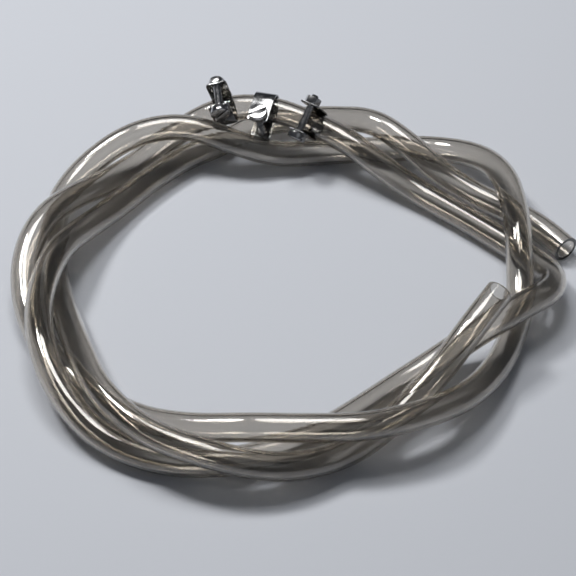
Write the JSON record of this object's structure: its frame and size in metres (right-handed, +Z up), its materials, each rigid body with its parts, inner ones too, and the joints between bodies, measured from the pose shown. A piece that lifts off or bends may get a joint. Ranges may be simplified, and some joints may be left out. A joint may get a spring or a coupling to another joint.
{
  "type": "hose coil with screw clamps",
  "caption": "Loose coil of clear vinyl wort chiller hose with plain cut ends and small U-shaped screw clamps slid on to its far side.",
  "frame": {"origin": "middle of the coil's footprint, on the ground", "axes": "+Z up, +X towards the side with the free ends, -Y towards the front"},
  "size_m": [0.2627, 0.2444, 0.0384],
  "materials": {
    "hose": "clear soft vinyl, glossy",
    "strap": "zinc plated strip",
    "screw": "bright plated",
    "nut": "bright plated"
  },
  "bodies": {
    "hose": {"hose": "hose"},
    "left_clamp": {"left_strap": "strap"},
    "left_screw": {"left_screw": "screw"},
    "left_nut": {"left_nut": "nut"},
    "middle_clamp": {"middle_strap": "strap"},
    "middle_screw": {"middle_screw": "screw"},
    "middle_nut": {"middle_nut": "nut"},
    "right_clamp": {"right_strap": "strap"},
    "right_screw": {"right_screw": "screw"},
    "right_nut": {"right_nut": "nut"}
  },
  "joints": [
    {"name": "left_clamp_slide", "type": "hinge", "parent": "hose", "child": "left_clamp", "pos_m": [-0.02564, 0.0834, -0.01339], "axis": [0.1135, 0.7948, -0.5961], "range_deg": [0, 6.66]},
    {"name": "left_screw_turn", "type": "hinge", "parent": "left_clamp", "child": "left_screw", "pos_m": [-0.03868, 0.10751, 0.02852], "axis": [0.1081, -0.9799, -0.1675], "range_deg": [0, 1080]},
    {"name": "left_nut_travel", "type": "slide", "parent": "left_clamp", "child": "left_nut", "axis": [-0.1081, 0.9799, 0.1675], "range_m": [0, 0.0021]},
    {"name": "middle_clamp_slide", "type": "hinge", "parent": "hose", "child": "middle_clamp", "pos_m": [-0.02666, 0.06542, 0.00625], "axis": [0.1123, 0.3153, -0.9423], "range_deg": [-1.24, 6.2]},
    {"name": "middle_screw_turn", "type": "hinge", "parent": "middle_clamp", "child": "middle_screw", "pos_m": [-0.01812, 0.09846, 0.01914], "axis": [-0.0934, -0.2429, 0.9655], "range_deg": [0, 1080]},
    {"name": "middle_nut_travel", "type": "slide", "parent": "middle_clamp", "child": "middle_nut", "axis": [0.0934, 0.2429, -0.9655], "range_m": [0, 0.0021]},
    {"name": "right_clamp_slide", "type": "hinge", "parent": "hose", "child": "right_clamp", "pos_m": [-0.05807, -0.01044, -0.00005], "axis": [0.0387, 0.1688, -0.9849], "range_deg": [-1.35, 1.12]},
    {"name": "right_screw_turn", "type": "hinge", "parent": "right_clamp", "child": "right_screw", "pos_m": [0.00393, 0.09153, 0.02843], "axis": [-0.4191, -0.6422, -0.6419], "range_deg": [0, 1080]},
    {"name": "right_nut_travel", "type": "slide", "parent": "right_clamp", "child": "right_nut", "axis": [0.4191, 0.6422, 0.6419], "range_m": [0, 0.0021]}
  ],
  "couplings": [
    {"joint": "left_screw_turn", "follows": "left_nut_travel", "rad_per_m": 8976},
    {"joint": "middle_screw_turn", "follows": "middle_nut_travel", "rad_per_m": 8976},
    {"joint": "right_screw_turn", "follows": "right_nut_travel", "rad_per_m": 8976}
  ]
}
